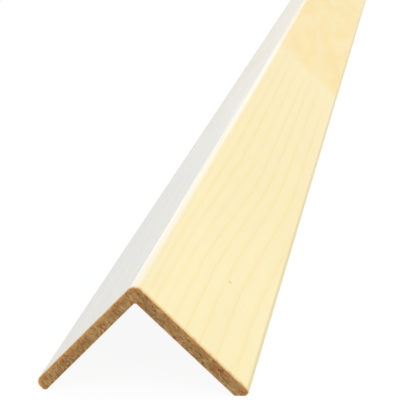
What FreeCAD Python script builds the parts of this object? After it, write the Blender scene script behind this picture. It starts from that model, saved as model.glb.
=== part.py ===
"""Corner guard moulding: an L-shaped strip that covers the outside corner of a wall.

A fibreboard core of L section carries a thin maple-faced wrap on its outer side. The strip
stands like a tent on its two toes, arris up, with its length along Y. The origin is at the
middle of its bounding box, on the floor. All sizes are in millimetres.
"""
import FreeCAD, Part
import math
import os

# Strip
LENGTH = 1220.0
LEFT_LEG = 31.2
THICKNESS = 2.9
WRAP = 0.2

# Corner between the legs
ARRIS_RADIUS = 2.1
INNER_CORNER_RADIUS = 0.6

# Toes: the outer edge of each is rounded, and the inner edge is planed to a level bevel
LEFT_TOE_RADIUS = 1.6
LEFT_TOE_BEVEL = 0.5
RIGHT_TOE_RADIUS = 0.6
RIGHT_TOE_BEVEL = 1.7

# The right leg is longer by the difference of the bevels, so both toes stand on one level
RIGHT_LEG = LEFT_LEG + RIGHT_TOE_BEVEL - LEFT_TOE_BEVEL

# Each leg slopes down from the arris at half a right angle
SLOPE = math.sin(math.radians(45.0))
ARRIS_HEIGHT = (LEFT_LEG + THICKNESS - LEFT_TOE_BEVEL) * SLOPE


def half_span(leg, toe_radius):
    """Level distance from the arris to the outermost point of a rounded toe."""
    return (leg - 2.0 * toe_radius) * SLOPE + toe_radius


# The arris stands off the middle by half the difference of the two sides
ARRIS_X = (half_span(LEFT_LEG, LEFT_TOE_RADIUS) - half_span(RIGHT_LEG, RIGHT_TOE_RADIUS)) / 2.0


def at(right, left):
    """Point of the near end, from distances down the right and the left leg's outer face."""
    return FreeCAD.Vector(
        ARRIS_X + (right - left) * SLOPE,
        -LENGTH / 2.0,
        ARRIS_HEIGHT - (right + left) * SLOPE,
    )


def line(start, end):
    """Straight edge between two (right, left) places."""
    return Part.LineSegment(at(*start), at(*end)).toShape()


def arc(centre, radius, first, last):
    """Arc about a (right, left) centre, between two angles turned from right towards left."""
    points = []
    for degrees in (first, (first + last) / 2.0, last):
        angle = math.radians(degrees)
        right = centre[0] + radius * math.cos(angle)
        left = centre[1] + radius * math.sin(angle)
        points.append(at(right, left))
    return Part.Arc(*points).toShape()


def right_toe_end(depth):
    """Place where the right toe's face, or a layer at a depth under it, meets its bevel."""
    return RIGHT_LEG - depth, THICKNESS - RIGHT_TOE_BEVEL + depth


def left_toe_end(depth):
    """Place where the left toe's face, or a layer at a depth under it, meets its bevel."""
    return THICKNESS - LEFT_TOE_BEVEL + depth, LEFT_LEG - depth


def outer_side(depth):
    """Edges from the right toe over the arris to the left toe, at a depth under the face."""
    right_end = right_toe_end(depth)
    left_end = left_toe_end(depth)
    right_centre = (RIGHT_LEG - RIGHT_TOE_RADIUS, RIGHT_TOE_RADIUS)
    left_centre = (LEFT_TOE_RADIUS, LEFT_LEG - LEFT_TOE_RADIUS)
    arris_centre = (ARRIS_RADIUS, ARRIS_RADIUS)
    return [
        line(right_end, (right_end[0], right_centre[1])),
        arc(right_centre, RIGHT_TOE_RADIUS - depth, 0.0, -90.0),
        line((right_centre[0], depth), (ARRIS_RADIUS, depth)),
        arc(arris_centre, ARRIS_RADIUS - depth, 270.0, 180.0),
        line((depth, ARRIS_RADIUS), (depth, left_centre[1])),
        arc(left_centre, LEFT_TOE_RADIUS - depth, 180.0, 90.0),
        line((left_centre[0], left_end[1]), left_end),
    ]


def core_section():
    """Fibreboard section: the outer side under the wrap, both bevels and the inner faces."""
    corner = THICKNESS + INNER_CORNER_RADIUS
    left_bevel_top = (THICKNESS, LEFT_LEG - LEFT_TOE_BEVEL)
    right_bevel_top = (RIGHT_LEG - RIGHT_TOE_BEVEL, THICKNESS)
    return outer_side(WRAP) + [
        line(left_toe_end(WRAP), left_bevel_top),
        line(left_bevel_top, (THICKNESS, corner)),
        arc((corner, corner), INNER_CORNER_RADIUS, 180.0, 270.0),
        line((corner, THICKNESS), right_bevel_top),
        line(right_bevel_top, right_toe_end(WRAP)),
    ]


def wrap_section():
    """Wrap section: a skin over the outer side that is trimmed level with both bevels."""
    left_trim = line(left_toe_end(0.0), left_toe_end(WRAP))
    right_trim = line(right_toe_end(WRAP), right_toe_end(0.0))
    return outer_side(0.0) + [left_trim] + outer_side(WRAP)[::-1] + [right_trim]


def extrude(edges):
    """Solid strip with the given section, square-cut at both ends."""
    face = Part.Face(Part.Wire(edges))
    return face.extrude(FreeCAD.Vector(0.0, LENGTH, 0.0))


NODES = {
    "fibreboard_core": core_section,
    "maple_wrap": wrap_section,
}

os.makedirs("parts", exist_ok=True)
for name, section in NODES.items():
    strip = extrude(section())
    strip.exportStep(os.path.join("parts", name + ".step"))
    box = strip.BoundBox
    print(name, "valid:", strip.isValid(), "volume:", round(strip.Volume, 1), "mm3")
    print("width:", round(box.XLength, 3), "height:", round(box.ZLength, 3), "lowest:", round(box.ZMin, 3))
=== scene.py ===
"""Looks of a corner guard moulding: a sawn strip of fibreboard in a thin maple wrap.

Both pieces follow the strip's section: places on it are given as (right, left), the distances
down the outer faces of the two legs from their sharp arris. Lengths are in metres.
"""
import math

import bpy
from mathutils import Matrix, Vector


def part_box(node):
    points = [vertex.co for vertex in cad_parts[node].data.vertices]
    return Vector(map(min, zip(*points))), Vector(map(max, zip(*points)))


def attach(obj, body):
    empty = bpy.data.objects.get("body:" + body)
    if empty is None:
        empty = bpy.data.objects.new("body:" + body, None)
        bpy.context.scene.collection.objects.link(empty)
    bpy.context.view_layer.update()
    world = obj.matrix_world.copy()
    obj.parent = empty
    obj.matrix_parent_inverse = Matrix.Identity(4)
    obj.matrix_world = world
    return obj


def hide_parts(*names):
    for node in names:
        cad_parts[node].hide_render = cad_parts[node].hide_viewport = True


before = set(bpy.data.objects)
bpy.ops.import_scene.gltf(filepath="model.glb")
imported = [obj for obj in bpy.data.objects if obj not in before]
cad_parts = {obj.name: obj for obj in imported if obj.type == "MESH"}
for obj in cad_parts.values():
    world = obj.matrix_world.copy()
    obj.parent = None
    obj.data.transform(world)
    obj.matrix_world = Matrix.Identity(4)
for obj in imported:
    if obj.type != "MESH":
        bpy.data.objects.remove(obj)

bl_info = {
    "name": "Corner guard moulding",
    "version": (1, 0, 0),
    "blender": (4, 5, 0),
    "location": "3D View > Sidebar > Moulding",
    "description": "Dresses a corner guard strip: fibreboard with sawn ends, and its maple wrap",
    "category": "Object",
}

MM = 0.001
WHITE = (1.0, 1.0, 1.0, 1.0)
# A distance down either leg moves a place by this share of it sideways, and down.
SLOPE = math.sqrt(0.5)
# The saw's strokes run down the right leg, and this turn lays them along the first axis.
SAW_TURN = math.radians(-45.0)
# What the arris's rounding takes off the developed distance from it, in millimetres.
SHARP_CORNER = 0.45
# Edges that bend by more degrees than this stay sharp.
CREASE = 40.0
# Steps that the strip's length is swept in.
CORE_STEPS = 12
WRAP_STEPS = 24
# Size of a torn clump into the strip, and the size and depth of the wrap's torn tufts.
CLUMP_DEPTH = 10.0 * MM
WRAP_TUFT = 0.8 * MM
WRAP_TEAR_OUT = 0.08 * MM
# Width of the rim where the tear-out changes from the rim's share to the whole.
RIM = 0.3 * MM
# Points this near to each other are one, and points this near to an end plane are on it.
SAME_POINT = 0.002 * MM
ON_END = 0.01 * MM
FRAME_PIXELS = 400.0
# Each soft light's name, place, height and watts.
SOFTBOXES = (
    ("left_softbox", (-1.18, 2.3, 0.525), 0.92, 1.5),
    ("high_softbox", (-0.31, 2.3, 0.98), 0.92, 1.25),
    ("low_softbox", (-0.31, 2.3, 0.256), 0.46, 0.15),
)
CORE_NODE = "fibreboard_core"
WRAP_NODE = "maple_wrap"
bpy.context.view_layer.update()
WRAP_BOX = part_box(WRAP_NODE)
NEAR_END = WRAP_BOX[0].y
FAR_END = WRAP_BOX[1].y
LENGTH = FAR_END - NEAR_END


def from_bytes(red, green, blue):
    """Linear colour of a display colour given from 0 to 255."""
    linear = []
    for byte in (red, green, blue):
        share = byte / 255.0
        low = share / 12.92
        high = ((share + 0.055) / 1.055) ** 2.4
        linear.append(low if share <= 0.04045 else high)
    return tuple(linear)


def opaque(colour):
    """The colour with full alpha, as a shader's socket takes it."""
    return (*colour[:3], 1.0)


def length_setting(name, description, millimetres):
    """A user's setting for one length."""
    return bpy.props.FloatProperty(
        name=name, description=description, default=millimetres * MM, min=0.0,
        unit="LENGTH", precision=5,
    )


def colour_setting(name, description, red, green, blue):
    """A user's setting for one colour, with its default as a display colour."""
    return bpy.props.FloatVectorProperty(
        name=name, description=description, default=from_bytes(red, green, blue),
        subtype="COLOR", size=3, min=0.0, max=1.0,
    )


def turn_setting(name, description, degrees):
    """A user's setting for one angle."""
    return bpy.props.FloatProperty(
        name=name, description=description, default=math.radians(degrees), unit="ROTATION",
    )


def share_setting(name, description, default):
    """A user's setting from 0 to 1."""
    return bpy.props.FloatProperty(
        name=name, description=description, default=default, min=0.0, max=1.0, subtype="FACTOR",
    )


class SectionSizes(bpy.types.PropertyGroup):
    """Sizes of the strip's section."""

    thickness: length_setting("Thickness", "Finished thickness of a leg", 2.9)
    wrap: length_setting("Wrap", "Thickness of the maple wrap", 0.2)
    arris_radius: length_setting("Arris radius", "Rounding of the corner that shows", 2.1)
    inner_radius: length_setting("Inner radius", "Rounding between the bare inner faces", 0.6)
    left_toe_radius: length_setting("Left toe radius", "Outer rounding of the left toe", 1.6)
    left_toe_bevel: length_setting("Left toe bevel", "Planed inner edge of the left toe", 0.5)
    right_toe_radius: length_setting("Right toe radius", "Outer rounding of the right toe", 0.6)
    right_toe_bevel: length_setting("Right toe bevel", "Planed inner edge of the right toe", 1.7)
    cell: length_setting("Cell", "Side of the squares that the sawn ends are cut into", 0.12)


class FibreboardFinish(bpy.types.PropertyGroup):
    """Colours and relief of the bare fibreboard."""

    body: colour_setting("Body", "Commonest colour of the sawn fibres", 154, 117, 73)
    light: colour_setting("Light", "Pale fibre bundles", 194, 160, 104)
    rust: colour_setting("Rust", "Reddish fibre bundles", 158, 92, 48)
    # Dark fibres, also used as painted shade in the low gaps of the sawn ends.
    dark: colour_setting("Dark", "Dark clumps and gaps", 92, 68, 34)
    outer: colour_setting("Outer", "Orange layer under the wrap", 203, 146, 80)
    back: colour_setting("Back", "Smooth bare inner face", 164, 131, 92)
    stroke: length_setting("Stroke", "Length of a clump along the saw's strokes", 1.25)
    stroke_width: length_setting("Stroke width", "Width of a clump across the strokes", 0.55)
    tear_out: length_setting("Tear-out", "Deepest tear-out of the sawn ends", 0.3)


class MapleFinish(bpy.types.PropertyGroup):
    """Colours and figure of the maple wrap."""

    face: colour_setting("Face", "Maple between the grain lines", 242, 229, 183)
    line: colour_setting("Line", "Thin grain lines", 240, 221, 159)
    # The nearer face is painted paler as a reflection; this deeper yellow is its colour past the
    # reflection edge.
    deep: colour_setting("Deep", "Deeper yellow, full beyond the splice", 243, 217, 150)
    cut_edge: colour_setting("Cut edge", "Edge of the wrap at the sawn ends", 226, 184, 118)
    smear: colour_setting("Smear", "Fibre dust dragged over the wrap's cut edge", 208, 166, 110)
    # Painted highlight: a pale skin over the arris that stands in for its reflection of the lights.
    painted_light: colour_setting("Worn", "Rubbed, paler skin over the arris", 250, 244, 229)
    # Painted reflection: the left leg's pale greyish tone stands in for the glare it shows at a
    # grazing view.
    painted_reflection: colour_setting("Bleached", "Pale skin of the left leg", 244, 242, 234)
    left_reflection_share: share_setting("Left paleness", "The left leg's share of the bleached colour", 0.75)
    right_gloss: share_setting("Right gloss", "The right leg's share of the left leg's lacquer", 0.12)
    # Painted shade: the right toe's rounding darkened where it turns from the light.
    toe_shade: colour_setting("Toe edge", "Worn rounding of the right toe", 216, 201, 152)
    fleck: colour_setting("Fleck", "Small dark mark on the right leg", 120, 104, 78)
    line_gap: length_setting("Line gap", "Distance between grain lines at the arris", 1.35)
    line_widening: share_setting("Line widening", "Growth of the lines' distance away from it", 0.158)
    # Where the painted reflection on the nearer part of the wrap ends.
    splice: length_setting("Splice", "Distance of the splice from the near end", 289.0)
    right_edge: length_setting("Right edge", "Developed distance of the right toe's rounding", 30.95)


class FibreSettings(bpy.types.PropertyGroup):
    """Loose fibres on the sawn ends."""

    length: length_setting("Length", "Longest loose fibre", 0.8)
    radius: length_setting("Radius", "Radius of a loose fibre", 0.032)
    spread: share_setting("Spread", "How far the fibres stray from the saw's strokes", 0.45)
    inset: length_setting("Inset", "Bare rim of the sawn ends", 0.35)
    density: bpy.props.FloatProperty(
        name="Density", description="Loose fibres on a square metre of sawn end", default=4.5e6,
    )
    seed: bpy.props.IntProperty(name="Seed", description="Seed of the fibres' places", default=4)


class StageSettings(bpy.types.PropertyGroup):
    """Camera, floor and lights."""

    camera_place: bpy.props.FloatVectorProperty(
        name="Camera", description="Place of the camera", subtype="XYZ", unit="LENGTH",
        default=(56.4 * MM, -868.1 * MM, 115.9 * MM),
    )
    yaw: turn_setting("Yaw", "Turn of the view to the left", 9.46)
    pitch: turn_setting("Pitch", "Tilt of the view below level", 15.91)
    roll: turn_setting("Roll", "Turn of the camera about its own view", -2.0)
    focal_pixels: bpy.props.FloatProperty(
        name="Focal length", description="Focal length in pixels of a 400 pixel frame",
        default=1390.0,
    )
    floor: colour_setting("Floor", "Colour of the studio floor", 233, 236, 241)


class Section:
    """Cross-section of the strip, set into the frame's box of the wrap."""

    # The inner outline's stops behind a toe reach this far past it, and its flat has this share.
    inner_reach = 0.3 * MM
    flat_share = 0.35

    def __init__(self, sizes):
        self.thickness = sizes.thickness
        self.arris_radius = sizes.arris_radius
        self.inner_radius = sizes.inner_radius
        self.toe_radius = (sizes.right_toe_radius, sizes.left_toe_radius)
        self.toe_bevel = (sizes.right_toe_bevel, sizes.left_toe_bevel)
        self.arris_z = WRAP_BOX[1].z + (math.sqrt(2.0) - 1.0) * sizes.arris_radius
        blank = self.arris_z / SLOPE - sizes.thickness
        self.leg = (blank + sizes.right_toe_bevel, blank + sizes.left_toe_bevel)
        right_span = (self.leg[0] - 2.0 * self.toe_radius[0]) * SLOPE + self.toe_radius[0]
        self.arris_x = WRAP_BOX[1].x - right_span

    def at(self, place, along):
        """Point of the strip at a (right, left) place and a distance along, never under the floor."""
        right, left = place
        x = self.arris_x + (right - left) * SLOPE
        z = max(0.0, self.arris_z - (right + left) * SLOPE)
        return Vector((x, along, z))

    def half_outer(self, side, depth, counts):
        """Places from one toe's bevel to the middle of the arris, at a depth under the face.

        They are (down, through) one leg: its distance down from the arris, and into the leg.
        """
        leg = self.leg[side]
        toe = self.toe_radius[side]
        end = (leg - depth, self.thickness - self.toe_bevel[side] + depth)
        stops = spread(end, (leg - depth, toe), counts[0])
        stops += bend((leg - toe, toe), toe - depth, 0.0, -90.0, counts[1])
        stops += spread((leg - toe, depth), (self.arris_radius, depth), counts[2])
        centre = (self.arris_radius, self.arris_radius)
        stops += bend(centre, self.arris_radius - depth, -90.0, -135.0, counts[3])
        middle = self.arris_radius - (self.arris_radius - depth) * SLOPE
        return stops + [(middle, middle)]

    def half_inner(self, side, counts):
        """Places from one toe's bevel to the middle of the inner corner, on the inner face."""
        top = self.leg[side] - self.toe_bevel[side]
        inset = min(top, self.leg[side] - self.toe_radius[side]) - self.inner_reach
        first = top - (top - inset) * self.flat_share
        corner = self.thickness + self.inner_radius
        stops = spread((top, self.thickness), (first, self.thickness), counts[0])
        stops += spread((first, self.thickness), (inset, self.thickness), counts[1])
        stops += spread((inset, self.thickness), (corner, self.thickness), counts[2])
        stops += bend((corner, corner), self.inner_radius, -90.0, -135.0, counts[3])
        middle = corner - self.inner_radius * SLOPE
        return stops + [(middle, middle)]

    def counts(self, side, cell):
        """How many squares each stretch of a leg's outline is cut into."""
        toe_face = self.thickness - self.toe_bevel[side] - self.toe_radius[side]
        stretches = (
            max(toe_face, cell),
            self.toe_radius[side] * math.pi / 2.0,
            self.leg[side] - self.toe_radius[side] - self.arris_radius,
            self.arris_radius * math.pi / 4.0,
        )
        return [max(2, round(stretch / cell)) for stretch in stretches]

    def whole(self, half):
        """Outline from the right toe to the left toe, from a function that makes one side's."""
        right = half(0)
        left = [(down, through) for through, down in half(1)]
        return right + left[-2::-1]

    def outer(self, depth, cell):
        """Outline from toe to toe over the arris, at a depth under the face."""
        return self.whole(lambda side: self.half_outer(side, depth, self.counts(side, cell)))

    def inner(self, cell):
        """Outline from toe to toe along the bare inner faces, stop for stop as the outer one."""
        return self.whole(lambda side: self.half_inner(side, self.counts(side, cell)))


def between(start, end, share):
    """The place that lies a share of the way from one place to another."""
    return tuple(a + (b - a) * share for a, b in zip(start, end))


def spread(start, end, count):
    """Even stops on a straight stretch, without its last."""
    return [between(start, end, step / count) for step in range(count)]


def bend(centre, radius, first, last, count):
    """Even stops on an arc, without its last."""
    stops = []
    for step in range(count):
        angle = math.radians(first + (last - first) * step / count)
        stops.append((centre[0] + radius * math.cos(angle), centre[1] + radius * math.sin(angle)))
    return stops


def developed(outline):
    """Distance of each stop from the outline's middle, along it; the right leg's are positive."""
    lengths = [0.0]
    for before, after in zip(outline, outline[1:]):
        lengths.append(lengths[-1] + math.dist(before, after))
    middle = lengths[min(range(len(outline)), key=lambda i: abs(outline[i][0] - outline[i][1]))]
    return [middle - length for length in lengths]


def sawn_sheet(name, section, layers):
    """A flat mesh of squares at the near end, facing along the strip, which is swept later.

    Each point keeps its place on the strip: across from the arris, along from the near end,
    and through from the first layer. It also keeps its distance from the sheet's rim.
    """
    across = developed(layers[0])
    ends = (across[0], across[-1])
    points = []
    places = []
    rims = []
    for outline in layers:
        for stop, place in enumerate(outline):
            through = math.dist(place, layers[0][stop])
            behind = math.dist(place, layers[-1][stop])
            points.append(section.at(place, NEAR_END))
            places.append((across[stop], 0.0, through))
            rims.append(min(through, behind, ends[0] - across[stop], across[stop] - ends[1]))
    width = len(layers[0])
    faces = []
    for layer in range(len(layers) - 1):
        for stop in range(width - 1):
            first = layer * width + stop
            faces.append((first + width, first + width + 1, first + 1, first))
    mesh = bpy.data.meshes.new(name)
    mesh.from_pydata(points, [], faces)
    stored = mesh.attributes.new("place", "FLOAT_VECTOR", "POINT")
    stored.data.foreach_set("vector", [number for place in places for number in place])
    stored = mesh.attributes.new("rim", "FLOAT", "POINT")
    stored.data.foreach_set("value", rims)
    sheet = bpy.data.objects.new(name, mesh)
    bpy.context.scene.collection.objects.link(sheet)
    return sheet


def smooth_by_angle(mesh):
    """Shades the mesh smooth, with its sharper edges kept."""
    mesh.shade_smooth()
    mesh.set_sharp_from_angle(angle=math.radians(CREASE))


def add(tree, kind, inputs=(), **settings):
    """Adds a node, sets its properties, and fills its inputs with values or links."""
    made = tree.nodes.new(kind)
    for name, value in settings.items():
        setattr(made, name, value)
    for key, value in dict(inputs).items():
        if isinstance(value, bpy.types.NodeSocket):
            tree.links.new(value, made.inputs[key])
        else:
            made.inputs[key].default_value = value
    return made


class Tree:
    """A node tree, with short names for the nodes that materials and shapes are both made of."""

    def add(self, kind, inputs=(), **settings):
        """Adds a node to the tree."""
        return add(self.tree, kind, inputs, **settings)

    def maths(self, operation, first, second=0.0, third=0.0):
        """Result of a sum of up to three numbers or links."""
        inputs = {0: first, 1: second, 2: third}
        return self.add("ShaderNodeMath", inputs, operation=operation).outputs[0]

    def times(self, first, second):
        """Product of two numbers or links."""
        return self.maths("MULTIPLY", first, second)

    def vectors(self, operation, first, second):
        """Result of a sum of two vectors."""
        inputs = {0: first, 1: second}
        return self.add("ShaderNodeVectorMath", inputs, operation=operation).outputs[0]

    def scaled(self, vector, factor):
        """The vector or colour made longer or lighter by a factor."""
        inputs = {0: vector, "Scale": factor}
        return self.add("ShaderNodeVectorMath", inputs, operation="SCALE").outputs[0]

    def parts(self, vector):
        """The three numbers of a vector."""
        return self.add("ShaderNodeSeparateXYZ", {0: vector}).outputs

    def joined(self, x, y, z=0.0):
        """A vector from three numbers or links."""
        return self.add("ShaderNodeCombineXYZ", {0: x, 1: y, 2: z}).outputs[0]

    def ramp(self, value, low, high, start=0.0, end=1.0):
        """A smooth step from start to end as the value goes from low to high."""
        inputs = {"Value": value, "From Min": low, "From Max": high, "To Min": start, "To Max": end}
        made = self.add("ShaderNodeMapRange", inputs, interpolation_type="SMOOTHSTEP")
        return made.outputs[0]

    def along_strokes(self, spot):
        """The spot turned so that its first axis runs along the saw's strokes."""
        inputs = {"Vector": spot, "Axis": (0.0, 1.0, 0.0), "Angle": SAW_TURN}
        return self.add("ShaderNodeVectorRotate", inputs).outputs[0]


class Shading(Tree):
    """A material's node tree, with short names for what its pattern is made of."""

    def __init__(self, name):
        self.material = bpy.data.materials.new(name)
        self.material.use_nodes = True
        self.tree = self.material.node_tree
        self.tree.nodes.clear()

    def place(self):
        """The point's place on the sheet, in millimetres."""
        stored = self.add("ShaderNodeAttribute", attribute_name="place")
        return self.scaled(stored.outputs["Vector"], 1.0 / MM)

    def noise(self, vector, size, detail=2.0, roughness=0.5, shift=0.0):
        """Noise from 0 to 1 with features of the given size along each axis."""
        scale = tuple(1.0 / number for number in size)
        inputs = {"Vector": vector, "Location": (shift, shift, shift), "Scale": scale}
        mapped = self.add("ShaderNodeMapping", inputs).outputs[0]
        inputs = {"Vector": mapped, "Scale": 1.0, "Detail": detail, "Roughness": roughness}
        return self.add("ShaderNodeTexNoise", inputs).outputs["Fac"]

    def mix(self, share, first, second):
        """A colour between two colours or links."""
        inputs = {0: share}
        for key, value in ((6, first), (7, second)):
            linked = isinstance(value, bpy.types.NodeSocket)
            inputs[key] = value if linked else opaque(value)
        return self.add("ShaderNodeMix", inputs, data_type="RGBA").outputs[2]

    def bump(self, height, distance, strength=1.0):
        """A normal for a height from 0 to 1 that stands for a real distance."""
        inputs = {"Height": height, "Distance": distance, "Strength": strength}
        return self.add("ShaderNodeBump", inputs).outputs[0]

    def finish(self, colour, roughness, normal, **others):
        """Ends the tree in a surface, and returns the material."""
        inputs = {"Base Color": colour, "Roughness": roughness, "Normal": normal, **others}
        surface = self.add("ShaderNodeBsdfPrincipled", inputs)
        self.add("ShaderNodeOutputMaterial", {0: surface.outputs[0]})
        return self.material


def sawn_fibre_material(finish):
    """Sawn fibreboard: brown, pale and rusty clumps combed along the saw's strokes, with painted
    shade in the low gaps.
    """
    shading = Shading("sawn_fibreboard")
    seen = shading.add("ShaderNodeTexCoord").outputs["Object"]
    spot = shading.scaled(shading.along_strokes(seen), 1.0 / MM)
    through = shading.parts(shading.place())["Z"]
    long = finish.stroke / MM
    wide = finish.stroke_width / MM
    clumps = shading.noise(spot, (long, 9.0, wide), 3.0, 0.6)
    pale = shading.noise(spot, (long * 0.7, 9.0, wide * 0.8), 2.0, 0.55, 7.0)
    rusty = shading.noise(spot, (long * 1.6, 9.0, wide * 2.2), 2.0, 0.5, 19.0)
    patch = shading.noise(spot, (3.6, 20.0, 2.6), 1.0, 0.5, 37.0)
    grit = shading.noise(spot, (0.3, 0.5, 0.14), 2.0, 0.6, 31.0)
    colour = shading.mix(shading.ramp(patch, 0.42, 0.62, 0.0, 0.42), finish.body, finish.light)
    colour = shading.mix(shading.ramp(rusty, 0.48, 0.66, 0.0, 0.65), colour, finish.rust)
    colour = shading.mix(shading.ramp(pale, 0.5, 0.68, 0.0, 0.6), colour, finish.light)
    # Dark where the clumps are low, so that the bump's low gaps carry painted shade as well as dark
    # fibres.
    colour = shading.mix(shading.ramp(clumps, 0.48, 0.32, 0.0, 0.65), colour, finish.dark)
    layer = shading.ramp(through, 0.2, 1.0, 0.65, 0.0)
    broken = shading.ramp(clumps, 0.32, 0.55, 0.35, 1.0)
    colour = shading.mix(shading.times(layer, broken), colour, finish.outer)
    colour = shading.scaled(colour, shading.ramp(grit, 0.25, 0.75, 0.92, 1.08))
    height = shading.maths("ADD", clumps, shading.times(grit, 0.4))
    normal = shading.bump(height, 0.08 * MM, 0.5)
    return shading.finish(colour, 0.9, normal, **{"Specular IOR Level": 0.2})


def fibre_material(finish):
    """Loose fibres, each of its own brown."""
    shading = Shading("loose_fibre")
    tint = shading.add("ShaderNodeAttribute", attribute_name="tint").outputs["Fac"]
    speck = shading.noise(shading.place(), (0.3, 0.3, 0.3), 1.0)
    colour = shading.mix(shading.ramp(tint, 0.1, 0.35), finish.rust, finish.body)
    colour = shading.mix(shading.ramp(tint, 0.45, 0.8), colour, finish.light)
    colour = shading.scaled(colour, shading.ramp(speck, 0.3, 0.7, 0.88, 1.1))
    return shading.finish(colour, 0.85, shading.bump(speck, 0.01 * MM), **{"Specular IOR Level": 0.2})


def bare_back_material(finish):
    """Sanded fibreboard of the inner faces and bevels: fine felted fibres and faint sanding lines."""
    shading = Shading("bare_fibreboard_back")
    place = shading.place()
    felt = shading.noise(place, (0.7, 1.6, 0.7), 4.0, 0.6)
    blotch = shading.noise(place, (9.0, 30.0, 9.0), 2.0, 0.5, 5.0)
    fibres = shading.noise(place, (0.25, 2.2, 0.25), 2.0, 0.5, 11.0)
    sanding = shading.noise(place, (0.12, 45.0, 0.12), 1.0, 0.5, 23.0)
    colour = shading.mix(shading.ramp(felt, 0.35, 0.7, 0.0, 0.55), finish.back, finish.body)
    colour = shading.mix(shading.ramp(fibres, 0.62, 0.74, 0.0, 0.5), colour, finish.dark)
    colour = shading.scaled(colour, shading.ramp(blotch, 0.3, 0.7, 0.93, 1.07))
    height = shading.maths("ADD", felt, shading.times(sanding, 0.3))
    normal = shading.bump(height, 0.05 * MM, 0.6)
    return shading.finish(colour, 0.85, normal, **{"Specular IOR Level": 0.3})


def dragged_dust(shading, place):
    """Noise of the dust that the saw drags over the wrap, the same on its face and its cut edge."""
    return shading.noise(place, (1.7, 9.0, 9.0), 2.0, 0.5, 71.0)


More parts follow.
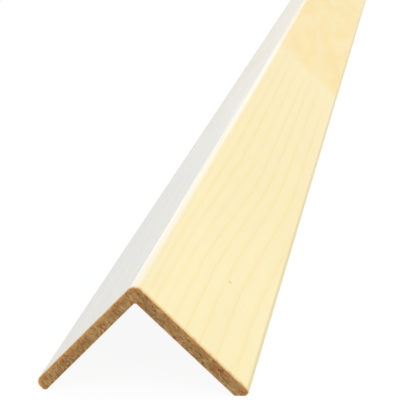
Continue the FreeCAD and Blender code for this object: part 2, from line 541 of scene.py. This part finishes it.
class MapleFace(Shading):
    """The wrap's surface, drawn on its developed face.

    Across is the distance from the arris, positive on the right leg, and along is the distance
    from the near end. They are in millimetres, and so are all lengths of the pattern.
    """

    # A grain line strays within this width. Over this stretch the lines spread away from the
    # arris, each by up to this share of its distance, and by no more than the limit.
    wander = 1.1
    spread_reach = (22.0, 139.0)
    spread_share = 0.53
    spread_limit = 5.3
    # Share of a gap by which the first grain line stands off the arris.
    first_line = 0.17
    fleck_place = (18.85, 40.3)
    fleck_half = (0.36, 0.5)
    # A range from 0.27 to 0.33 gave faint dark ticks in the render, and this one gave none.
    roughness = (0.285, 0.345)

    def __init__(self, settings):
        super().__init__("maple_wrap_face")
        self.settings = settings
        self.splice = settings.splice / MM
        self.spot = self.place()
        self.across, self.along, _ = self.parts(self.spot)
        self.flat = self.joined(self.across, self.along)
        self.from_arris = self.maths("ABSOLUTE", self.across)
        self.level = self.grain_level()
        sided = self.times(self.level, self.maths("SIGN", self.across))
        self.grain = self.joined(sided, self.along)
        self.broad = self.noise(self.grain, (6.0, 90.0, 1.0), 3.0, 0.5, 41.0)
        self.fine = self.noise(self.grain, (0.3, 16.0, 1.0), 2.0, 0.5, 47.0)

    def grain_level(self):
        """Distance from the arris without the grain's bends, so that a line keeps one value."""
        stray = self.noise(self.flat, (9.0, 46.0, 1.0), 2.0, 0.5, 3.0)
        away = self.maths("ADD", self.from_arris, SHARP_CORNER)
        away = self.maths("SUBTRACT", away, self.wander / 2.0)
        away = self.maths("MULTIPLY_ADD", stray, self.wander, away)
        spread = self.ramp(self.along, *self.spread_reach)
        close = self.maths("MULTIPLY_ADD", spread, self.spread_share, 1.0)
        close = self.maths("DIVIDE", away, close)
        far = self.maths("MULTIPLY_ADD", spread, -self.spread_limit, away)
        return self.maths("MAXIMUM", close, far)

    def grain_marks(self):
        """Share of the lines' colour: lines ever further apart, of different strength, and dashes."""
        widening = self.settings.line_widening
        first_gap = self.settings.line_gap / MM
        count = self.maths("MULTIPLY_ADD", self.level, widening / first_gap, 1.0)
        count = self.maths("LOGARITHM", count, math.e)
        count = self.maths("MULTIPLY_ADD", count, 1.0 / widening, -self.first_line)
        gap = self.maths("MULTIPLY_ADD", self.level, widening, first_gap)
        beside = self.maths("PINGPONG", count, 0.5)
        thin = self.ramp(self.times(beside, gap), 0.06, 0.52, 1.0, 0.0)
        number = self.maths("ROUND", count)
        own = self.add("ShaderNodeTexWhiteNoise", {"W": number}, noise_dimensions="1D")
        own = self.maths("MULTIPLY_ADD", own.outputs["Value"], 0.29, 0.26)
        fading = self.noise(self.grain, (3.0, 26.0, 1.0), 2.0, 0.5, 13.0)
        fading = self.ramp(fading, 0.3, 0.6, 0.5, 1.0)
        fading = self.times(fading, self.ramp(self.along, 40.0, 180.0, 1.0, 1.7))
        fading = self.times(fading, self.ramp(self.level, 2.0, 12.0, 0.6, 1.0))
        lines = self.times(self.times(thin, own), fading)
        hollow = self.ramp(beside, 0.5, 0.0, 0.0, 0.2)
        dash = self.noise(self.grain, (0.55, 8.0, 1.0), 2.0, 0.55, 29.0)
        dashes = self.ramp(dash, 0.56, 0.7, 0.0, 0.25)
        marks = self.maths("ADD", lines, self.maths("ADD", hollow, dashes))
        marks = self.maths("MINIMUM", marks, 1.0)
        calm = self.ramp(self.along, self.splice - 50.0, self.splice)
        calm = self.maths("SUBTRACT", calm, self.ramp(self.along, 430.0, 600.0))
        return self.times(marks, self.maths("MULTIPLY_ADD", calm, -0.77, 1.0))

    def plain(self):
        """Colour between the lines: deeper yellow and mottled further along, fully so past the
        reflection edge, where the nearer face's painted reflection ends.
        """
        deeper = self.ramp(self.along, 30.0, 130.0, 0.0, 0.18)
        beyond = self.ramp(self.along, self.splice - 9.0, self.splice + 9.0)
        beyond = self.maths("MAXIMUM", deeper, beyond)
        colour = self.mix(beyond, self.settings.face, self.settings.deep)
        mottle = self.noise(self.flat, (8.0, 40.0, 1.0), 2.0, 0.5, 83.0)
        mottle = self.times(beyond, self.ramp(mottle, 0.36, 0.62, 0.0, 0.42))
        return self.mix(mottle, colour, self.settings.face)

    def grained(self):
        """The plain colour with its grain lines, and with faint bands and fibres along them."""
        colour = self.mix(self.grain_marks(), self.plain(), self.settings.line)
        colour = self.scaled(colour, self.ramp(self.broad, 0.25, 0.75, 0.985, 1.012))
        return self.scaled(colour, self.ramp(self.fine, 0.25, 0.75, 0.99, 1.01))

    def arris_highlighted(self, colour):
        """The colour with a painted highlight over the arris, paler as a reflection would make it,
        with a softer edge on the right leg.
        """
        close = self.maths("MULTIPLY_ADD", self.broad, 0.5, self.from_arris)
        close = self.ramp(close, 0.6, 1.9, 0.8, 0.0)
        wider = self.ramp(self.along, 60.0, 200.0, 0.0, -0.35)
        eased = self.maths("MULTIPLY_ADD", self.broad, 0.5, self.maths("ADD", self.across, wider))
        eased = self.ramp(eased, -0.4, 2.1, 0.8, 0.0)
        # The painted highlight is weaker past the reflection edge.
        weaker = self.ramp(self.along, self.splice - 10.0, self.splice + 20.0, 1.0, 0.65)
        share = self.times(self.maths("MINIMUM", close, eased), weaker)
        return self.mix(share, colour, self.settings.painted_light)

    def painted_reflection(self, colour):
        """The colour with a painted reflection making the left leg pale, and the leg streaked along
        its grain.
        """
        pale = self.ramp(self.across, -2.2, 0.2, self.settings.left_reflection_share, 0.0)
        # The painted reflection fades out towards the reflection edge.
        weaker = self.ramp(self.along, self.splice - 170.0, self.splice + 20.0, 1.0, 0.4)
        colour = self.mix(self.times(pale, weaker), colour, self.settings.painted_reflection)
        streak = self.noise(self.grain, (0.5, 70.0, 1.0), 3.0, 0.6, 67.0)
        streaks = self.ramp(streak, 0.3, 0.7, 0.88, 1.07)
        return self.scaled(colour, self.ramp(self.across, -1.5, 0.0, streaks, 1.0))

    def edged(self, colour):
        """The colour with both sawn ends browned and dusty, and painted shade on the right toe's
        rounding.
        """
        from_far = self.maths("SUBTRACT", LENGTH / MM, self.along)
        from_end = self.maths("MINIMUM", self.along, from_far)
        browned = self.times(self.ramp(from_end, 0.0, 1.6, 1.0, 0.0), 0.65)
        colour = self.mix(browned, colour, self.settings.cut_edge)
        dragged = self.ramp(dragged_dust(self, self.spot), 0.4, 0.7)
        dragged = self.times(dragged, 1.1)
        smeared = self.ramp(self.maths("SUBTRACT", from_end, dragged), -0.6, 0.2, 0.65, 0.0)
        colour = self.mix(smeared, colour, self.settings.smear)
        # Painted shade on the right toe's rounding.
        past = self.maths("SUBTRACT", self.across, self.settings.right_edge / MM)
        painted_light = self.times(self.ramp(past, -0.3, 0.4), 0.8)
        return self.mix(painted_light, colour, self.settings.toe_shade)

    def flecked(self, colour):
        """The colour with the small dark fleck."""
        halves = []
        for spot, middle, half in zip((self.across, self.along), self.fleck_place, self.fleck_half):
            away = self.maths("SUBTRACT", spot, middle)
            halves.append(self.maths("ABSOLUTE", self.maths("DIVIDE", away, half)))
        share = self.ramp(self.maths("MAXIMUM", *halves), 0.6, 1.7, 0.25, 0.0)
        return self.mix(share, colour, self.settings.fleck)

    def relief(self):
        """Normal of the low ridges, fibres and pores."""
        pores = self.noise(self.grain, (0.16, 6.0, 1.0), 2.0, 0.5, 53.0)
        ridges = self.noise(self.grain, (0.6, 60.0, 1.0), 2.0, 0.5, 61.0)
        height = self.maths("MULTIPLY_ADD", pores, 0.04, self.times(self.fine, 0.15))
        return self.bump(self.maths("ADD", ridges, height), 0.01 * MM, 0.3)


def maple_material(finish):
    """Satin maple wrap: faint grain that spreads from the arris, a fleck, and painted highlight,
    reflection and shade.
    """
    face = MapleFace(finish)
    colour = face.grained()
    for change in (face.arris_highlighted, face.painted_reflection, face.edged, face.flecked):
        colour = change(colour)
    normal = face.relief()
    return face.finish(colour, face.ramp(face.broad, 0.2, 0.8, *face.roughness), normal, **{
        "Specular IOR Level": 0.04,
        "Coat Weight": face.ramp(face.across, 0.3, 1.8, 1.0, finish.right_gloss),
        "Coat Roughness": 0.16,
        "Coat IOR": 1.18,
        "Coat Normal": normal,
    })


def wrap_edge_material(finish):
    """Cut edge of the wrap: pale, matt and slightly fibrous."""
    shading = Shading("maple_wrap_cut_edge")
    place = shading.place()
    torn = shading.noise(place, (0.5, 0.3, 0.08), 3.0, 0.6)
    dragged = dragged_dust(shading, place)
    colour = shading.mix(shading.ramp(torn, 0.3, 0.7, 0.0, 0.6), finish.cut_edge, finish.line)
    colour = shading.mix(shading.ramp(dragged, 0.34, 0.6, 0.3, 0.9), colour, finish.smear)
    normal = shading.bump(torn, 0.03 * MM, 0.6)
    return shading.finish(colour, 0.8, normal, **{"Specular IOR Level": 0.3})


class Growth(Tree):
    """A Geometry Nodes tree with named inputs, for shapes that follow a rule."""

    def __init__(self, name, inputs):
        self.tree = bpy.data.node_groups.new(name, "GeometryNodeTree")
        self.tree.is_modifier = True
        face = self.tree.interface
        face.new_socket("Geometry", in_out="INPUT", socket_type="NodeSocketGeometry")
        face.new_socket("Geometry", in_out="OUTPUT", socket_type="NodeSocketGeometry")
        self.identifiers = {}
        for label, kind in inputs.items():
            socket = face.new_socket(label, in_out="INPUT", socket_type="NodeSocket" + kind)
            self.identifiers[label] = socket.identifier
        self.given = self.tree.nodes.new("NodeGroupInput").outputs
        self.result = self.tree.nodes.new("NodeGroupOutput").inputs[0]

    def spot(self):
        """Each point's position."""
        return self.add("GeometryNodeInputPosition").outputs[0]

    def stored(self, name, kind="FLOAT"):
        """A named attribute of the mesh."""
        return self.add("GeometryNodeInputNamedAttribute", {"Name": name}, data_type=kind).outputs[0]

    def keep(self, geometry, name, value, kind="FLOAT", domain="POINT"):
        """The geometry with a value stored as a named attribute."""
        inputs = {"Geometry": geometry, "Name": name, "Value": value}
        made = self.add("GeometryNodeStoreNamedAttribute", inputs, data_type=kind, domain=domain)
        return made.outputs[0]

    def moved(self, geometry, **inputs):
        """The geometry with all or some of its points moved."""
        return self.add("GeometryNodeSetPosition", {"Geometry": geometry, **inputs}).outputs[0]

    def realized(self, geometry):
        """The geometry with its instances made real."""
        return self.add("GeometryNodeRealizeInstances", {0: geometry}).outputs[0]

    def painted(self, geometry, material, selection=True):
        """The geometry with a material on all or some of its faces."""
        inputs = {"Geometry": geometry, "Selection": selection, "Material": material}
        return self.add("GeometryNodeSetMaterial", inputs).outputs[0]

    def end(self, geometry):
        """Links the result."""
        self.tree.links.new(geometry, self.result)

    def apply(self, thing, values):
        """Turns the object's mesh into what the tree makes of it, and takes the tree off again."""
        modifier = thing.modifiers.new(self.tree.name, "NODES")
        modifier.node_group = self.tree
        for label, value in values.items():
            modifier[self.identifiers[label]] = value
        bpy.context.view_layer.update()
        evaluated = thing.evaluated_get(bpy.context.evaluated_depsgraph_get())
        mesh = bpy.data.meshes.new_from_object(evaluated)
        thing.modifiers.remove(modifier)
        old = thing.data
        thing.data = mesh
        mesh.name = old.name
        bpy.data.meshes.remove(old)


def swept_along(growth):
    """The flat section swept along the strip in steps, and closed at both ends."""
    given = growth.given
    link = growth.tree.links.new
    near = growth.add("GeometryNodeFlipFaces", {0: given["Geometry"]}).outputs[0]
    step = growth.maths("DIVIDE", given["Length"], given["Steps"])
    start = growth.add("GeometryNodeRepeatInput")
    stop = growth.add("GeometryNodeRepeatOutput")
    start.pair_with_output(stop)
    stop.repeat_items.new("BOOLEAN", "Front")
    link(given["Steps"], start.inputs["Iterations"])
    link(given["Geometry"], start.inputs["Geometry"])
    start.inputs["Front"].default_value = True
    swept = growth.add(
        "GeometryNodeExtrudeMesh",
        {
            "Mesh": start.outputs["Geometry"],
            "Selection": start.outputs["Front"],
            "Offset": growth.joined(0.0, step),
            "Individual": False,
        },
        mode="FACES",
    )
    link(swept.outputs["Mesh"], stop.inputs["Geometry"])
    link(swept.outputs["Top"], stop.inputs["Front"])
    both = growth.add("GeometryNodeJoinGeometry")
    link(near, both.inputs[0])
    link(stop.outputs["Geometry"], both.inputs[0])
    inputs = {"Geometry": both.outputs[0], "Distance": SAME_POINT}
    return growth.add("GeometryNodeMergeByDistance", inputs).outputs[0]


def with_places(growth, strip):
    """The strip with each point's place on it, and with its sawn faces marked."""
    kept = growth.parts(growth.stored("place", "FLOAT_VECTOR"))
    along = growth.maths("SUBTRACT", growth.parts(growth.spot())["Y"], NEAR_END)
    place = growth.joined(kept["X"], along, kept["Z"])
    placed = growth.keep(strip, "place", place, "FLOAT_VECTOR")
    facing = growth.parts(growth.add("GeometryNodeInputNormal").outputs[0])["Y"]
    sawn = growth.maths("GREATER_THAN", growth.maths("ABSOLUTE", facing), 0.9)
    return growth.keep(placed, "sawn", sawn, domain="FACE")


def torn_ends(growth, strip):
    """The strip with the points of its sawn ends moved inwards, in clumps along the strokes."""
    given = growth.given
    spot = growth.spot()
    along = growth.parts(spot)["Y"]
    side = growth.maths("SIGN", along)
    at_end = growth.maths("GREATER_THAN", growth.maths("ABSOLUTE", along), FAR_END - ON_END)
    clumps = growth.add(
        "ShaderNodeTexNoise",
        {
            "Vector": growth.vectors("DIVIDE", growth.along_strokes(spot), given["Stroke"]),
            "W": growth.maths("MULTIPLY_ADD", side, 5.3, given["Seed"]),
            "Scale": 1.0,
            "Detail": 3.0,
            "Roughness": 0.6,
        },
        noise_dimensions="4D",
    ).outputs["Fac"]
    torn = growth.add(
        "ShaderNodeMapRange",
        {"Value": clumps, "From Min": 0.32, "From Max": 0.68, "To Min": 1.0, "To Max": 0.0},
    ).outputs[0]
    inner = growth.ramp(growth.stored("rim"), 0.0, RIM, given["Rim share"])
    depth = growth.times(growth.times(torn, inner), given["Tear-out"])
    inward = growth.times(growth.times(depth, side), -1.0)
    return growth.moved(strip, Selection=at_end, Offset=growth.joined(0.0, inward))


def swept_strip_tree(sawn_material, side_material):
    """Geometry Nodes: sweeps a flat section along the strip, and roughens both sawn ends."""
    growth = Growth("swept_strip", {
        "Length": "Float",
        "Steps": "Int",
        "Tear-out": "Float",
        "Rim share": "Float",
        "Stroke": "Vector",
        "Seed": "Float",
    })
    strip = torn_ends(growth, with_places(growth, swept_along(growth)))
    strip = growth.painted(growth.realized(strip), side_material)
    growth.end(growth.painted(strip, sawn_material, growth.stored("sawn")))
    return growth


def one_fibre(growth):
    """A bowed and tapered fibre of unit length, as slim as the given radius makes it."""
    given = growth.given
    ends = {"Start": (0.0, 0.0, -0.5), "End": (0.0, 0.0, 0.5)}
    stem = growth.add("GeometryNodeCurvePrimitiveLine", ends).outputs[0]
    stem = growth.add("GeometryNodeResampleCurve", {"Curve": stem, "Count": 4}).outputs[0]
    taper = growth.add("GeometryNodeSplineParameter").outputs["Factor"]
    bow = growth.times(growth.times(taper, taper), 0.2)
    stem = growth.moved(stem, Offset=growth.joined(bow, 0.0))
    slim = growth.maths("DIVIDE", given["Radius"], given["Length"])
    circle = {"Resolution": 4, "Radius": slim}
    ring = growth.add("GeometryNodeCurvePrimitiveCircle", circle).outputs[0]
    return growth.add(
        "GeometryNodeCurveToMesh",
        {
            "Curve": stem,
            "Profile Curve": ring,
            "Scale": growth.maths("MULTIPLY_ADD", taper, -0.7, 1.0),
            "Fill Caps": True,
        },
    ).outputs[0]


def loose_fibre_tree(material):
    """Geometry Nodes: short fibres combed along the saw's strokes, kept behind the sawn plane."""
    growth = Growth("loose_sawn_fibres", {
        "Density": "Float",
        "Length": "Float",
        "Radius": "Float",
        "Spread": "Float",
        "Inset": "Float",
        "Seed": "Int",
        "Lowest": "Vector",
        "Highest": "Vector",
    })
    given = growth.given
    inside = growth.maths("GREATER_THAN", growth.stored("rim"), given["Inset"])
    scattered = growth.add(
        "GeometryNodeDistributePointsOnFaces",
        {
            "Mesh": given["Geometry"],
            "Selection": growth.times(growth.stored("sawn"), inside),
            "Density": given["Density"],
            "Seed": given["Seed"],
        },
    ).outputs["Points"]
    tint = growth.add("FunctionNodeRandomValue", {"Seed": 31}, data_type="FLOAT").outputs[1]
    stray = growth.add(
        "FunctionNodeRandomValue",
        {0: (-1.0, -0.45, -1.0), 1: (1.0, 0.45, 1.0), "Seed": 11}, data_type="FLOAT_VECTOR",
    ).outputs[0]
    stray = growth.scaled(stray, given["Spread"])
    heading = growth.vectors("ADD", stray, (SLOPE, 0.0, -SLOPE))
    turned = growth.add(
        "FunctionNodeAlignRotationToVector", {"Vector": heading}, axis="Z",
    ).outputs[0]
    share = growth.add("FunctionNodeRandomValue", {2: 0.4, 3: 1.0, "Seed": 23}, data_type="FLOAT")
    placed = growth.add(
        "GeometryNodeInstanceOnPoints",
        {
            "Points": growth.keep(scattered, "tint", tint),
            "Instance": one_fibre(growth),
            "Rotation": turned,
            "Scale": growth.times(share.outputs[1], given["Length"]),
        },
    ).outputs[0]
    above = growth.vectors("MAXIMUM", growth.spot(), given["Lowest"])
    within = growth.vectors("MINIMUM", above, given["Highest"])
    kept = growth.moved(growth.realized(placed), Position=within)
    growth.end(growth.painted(kept, material))
    return growth


class OBJECT_OT_dress_fibreboard(bpy.types.Operator):
    """Make the fibreboard strip with its torn sawn ends"""

    bl_idname = "moulding.dress_fibreboard"
    bl_label = "Fibreboard strip"

    def execute(self, context):
        sizes = context.scene.moulding_section
        finish = context.scene.moulding_fibreboard
        section = Section(sizes)
        outer = section.outer(sizes.wrap, sizes.cell)
        inner = section.inner(sizes.cell)
        count = max(2, round((sizes.thickness - sizes.wrap) / sizes.cell))
        layers = [
            [between(near, far, layer / count) for near, far in zip(outer, inner)]
            for layer in range(count + 1)
        ]
        strip = sawn_sheet("fibreboard_strip", section, layers)
        sweep = swept_strip_tree(sawn_fibre_material(finish), bare_back_material(finish))
        sweep.apply(strip, {
            "Length": LENGTH,
            "Steps": CORE_STEPS,
            "Tear-out": finish.tear_out,
            "Rim share": 0.0,
            "Stroke": (finish.stroke, CLUMP_DEPTH, finish.stroke_width),
            "Seed": 2.0,
        })
        smooth_by_angle(strip.data)
        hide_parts(CORE_NODE)
        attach(strip, "root")
        return {"FINISHED"}


class OBJECT_OT_dress_fibres(bpy.types.Operator):
    """Stand short loose fibres on the sawn ends of the strip"""

    bl_idname = "moulding.dress_fibres"
    bl_label = "Loose fibres"

    def execute(self, context):
        settings = context.scene.moulding_fibres
        finish = context.scene.moulding_fibreboard
        strip = bpy.data.objects["fibreboard_strip"]
        fibres = bpy.data.objects.new("sawn_end_fibres", strip.data.copy())
        context.scene.collection.objects.link(fibres)
        lowest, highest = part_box(CORE_NODE)
        loose_fibre_tree(fibre_material(finish)).apply(fibres, {
            "Density": settings.density,
            "Length": settings.length,
            "Radius": settings.radius,
            "Spread": settings.spread,
            "Inset": settings.inset,
            "Seed": settings.seed,
            "Lowest": tuple(lowest),
            "Highest": tuple(highest),
        })
        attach(fibres, "root")
        return {"FINISHED"}


class OBJECT_OT_dress_wrap(bpy.types.Operator):
    """Make the maple wrap, with its pale cut edges at the sawn ends"""

    bl_idname = "moulding.dress_wrap"
    bl_label = "Maple wrap"

    def execute(self, context):
        sizes = context.scene.moulding_section
        finish = context.scene.moulding_maple
        section = Section(sizes)
        layers = [section.outer(depth, 2.0 * sizes.cell) for depth in (0.0, sizes.wrap)]
        wrap = sawn_sheet("maple_skin", section, layers)
        sweep = swept_strip_tree(wrap_edge_material(finish), maple_material(finish))
        sweep.apply(wrap, {
            "Length": LENGTH,
            "Steps": WRAP_STEPS,
            "Tear-out": WRAP_TEAR_OUT,
            "Rim share": 1.0,
            "Stroke": (WRAP_TUFT, CLUMP_DEPTH, WRAP_TUFT),
            "Seed": 7.0,
        })
        smooth_by_angle(wrap.data)
        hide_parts(WRAP_NODE)
        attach(wrap, "root")
        return {"FINISHED"}


class SCENE_OT_set_stage(bpy.types.Operator):
    """Set up the camera, the pale floor and the soft lights"""

    bl_idname = "moulding.set_stage"
    bl_label = "Studio stage"

    def execute(self, context):
        settings = context.scene.moulding_stage
        place_camera(context.scene, settings)
        lay_floor(settings)
        hang_lights(context.scene)
        context.scene.view_settings.view_transform = "Standard"
        return {"FINISHED"}


def place_camera(scene, settings):
    """Adds the camera, turned left by yaw, down by pitch and about its view by roll."""
    forward = Vector((
        -math.sin(settings.yaw) * math.cos(settings.pitch),
        math.cos(settings.yaw) * math.cos(settings.pitch),
        -math.sin(settings.pitch),
    ))
    level = Vector((math.cos(settings.yaw), math.sin(settings.yaw), 0.0))
    upright = level.cross(forward)
    right = math.cos(settings.roll) * level + math.sin(settings.roll) * upright
    up = math.cos(settings.roll) * upright - math.sin(settings.roll) * level
    camera = bpy.data.cameras.new("camera")
    camera.sensor_width = 36.0
    camera.lens = settings.focal_pixels / FRAME_PIXELS * camera.sensor_width
    camera.clip_start = 0.01
    camera.clip_end = 50.0
    holder = bpy.data.objects.new("camera", camera)
    scene.collection.objects.link(holder)
    turn = Matrix((right, up, -forward)).transposed()
    holder.matrix_world = Matrix.Translation(settings.camera_place) @ turn.to_4x4()
    scene.camera = holder


def lay_floor(settings):
    """Adds a pale floor that shows near white to the camera and keeps a faint shadow."""
    half = 40.0
    mesh = bpy.data.meshes.new("studio_floor")
    corners = [(-half, -half, 0.0), (half, -half, 0.0), (half, half, 0.0), (-half, half, 0.0)]
    mesh.from_pydata(corners, [], [(0, 1, 2, 3)])
    floor = bpy.data.objects.new("studio_floor", mesh)
    bpy.context.scene.collection.objects.link(floor)
    shading = Shading("studio_floor")
    matt = shading.add("ShaderNodeBsdfDiffuse", {"Color": opaque(settings.floor)}).outputs[0]
    glow = shading.add("ShaderNodeEmission", {"Color": WHITE, "Strength": 1.03}).outputs[0]
    ray = shading.add("ShaderNodeLightPath").outputs
    mirrored = shading.maths("MAXIMUM", ray["Is Glossy Ray"], ray["Is Transmission Ray"])
    mirrored = shading.times(mirrored, 0.2)
    seen = shading.times(ray["Is Camera Ray"], 0.9)
    share = shading.maths("MAXIMUM", mirrored, seen)
    both = shading.add("ShaderNodeMixShader", {0: share, 1: matt, 2: glow}).outputs[0]
    shading.add("ShaderNodeOutputMaterial", {0: both})
    mesh.materials.append(shading.material)


def hang_lamp(lamp, facing, place=(0.0, 0.0, 0.0)):
    """Adds a lamp to the scene at a place, facing along a direction."""
    holder = bpy.data.objects.new(lamp.name, lamp)
    holder.location = place
    holder.rotation_euler = Vector(facing).to_track_quat("-Z", "Y").to_euler()
    bpy.context.scene.collection.objects.link(holder)


def hang_lights(scene):
    """Adds a soft key from the right, three soft lights beyond the far end, and a pale world."""
    key = bpy.data.lights.new("key_light", "SUN")
    key.energy = 0.32 * math.pi
    key.angle = math.radians(38.0)
    hang_lamp(key, (-0.83, 0.52, -0.23))
    target = Vector((0.0, NEAR_END, 0.0))
    for name, place, height, watts in SOFTBOXES:
        lamp = bpy.data.lights.new(name, "AREA")
        lamp.shape = "RECTANGLE"
        lamp.size = 0.84
        lamp.size_y = height
        lamp.energy = watts
        hang_lamp(lamp, target - Vector(place), place)
    world = bpy.data.worlds.new("studio_world")
    world.use_nodes = True
    tree = world.node_tree
    tree.nodes.clear()
    soft = add(tree, "ShaderNodeBackground", {"Color": WHITE, "Strength": 0.9}).outputs[0]
    add(tree, "ShaderNodeOutputWorld", {0: soft})
    scene.world = world


class VIEW3D_PT_moulding(bpy.types.Panel):
    """Lists the settings and steps of the moulding."""

    bl_label = "Corner guard moulding"
    bl_space_type = "VIEW_3D"
    bl_region_type = "UI"
    bl_category = "Moulding"

    def draw(self, context):
        for name, group, operators in STEPS:
            box = self.layout.box()
            settings = getattr(context.scene, name)
            for label in group.__annotations__:
                box.prop(settings, label)
            for operator in operators:
                box.operator(operator.bl_idname)


STEPS = (
    ("moulding_section", SectionSizes, ()),
    ("moulding_fibreboard", FibreboardFinish, (OBJECT_OT_dress_fibreboard,)),
    ("moulding_fibres", FibreSettings, (OBJECT_OT_dress_fibres,)),
    ("moulding_maple", MapleFinish, (OBJECT_OT_dress_wrap,)),
    ("moulding_stage", StageSettings, (SCENE_OT_set_stage,)),
)


def register():
    for name, group, operators in STEPS:
        bpy.utils.register_class(group)
        setattr(bpy.types.Scene, name, bpy.props.PointerProperty(type=group))
        for operator in operators:
            bpy.utils.register_class(operator)
    bpy.utils.register_class(VIEW3D_PT_moulding)


def unregister():
    bpy.utils.unregister_class(VIEW3D_PT_moulding)
    for name, group, operators in reversed(STEPS):
        for operator in operators:
            bpy.utils.unregister_class(operator)
        delattr(bpy.types.Scene, name)
        bpy.utils.unregister_class(group)


def main():
    register()
    bpy.ops.moulding.dress_fibreboard()
    bpy.ops.moulding.dress_fibres()
    bpy.ops.moulding.dress_wrap()
    bpy.ops.moulding.set_stage()


if __name__ == "__main__":
    main()
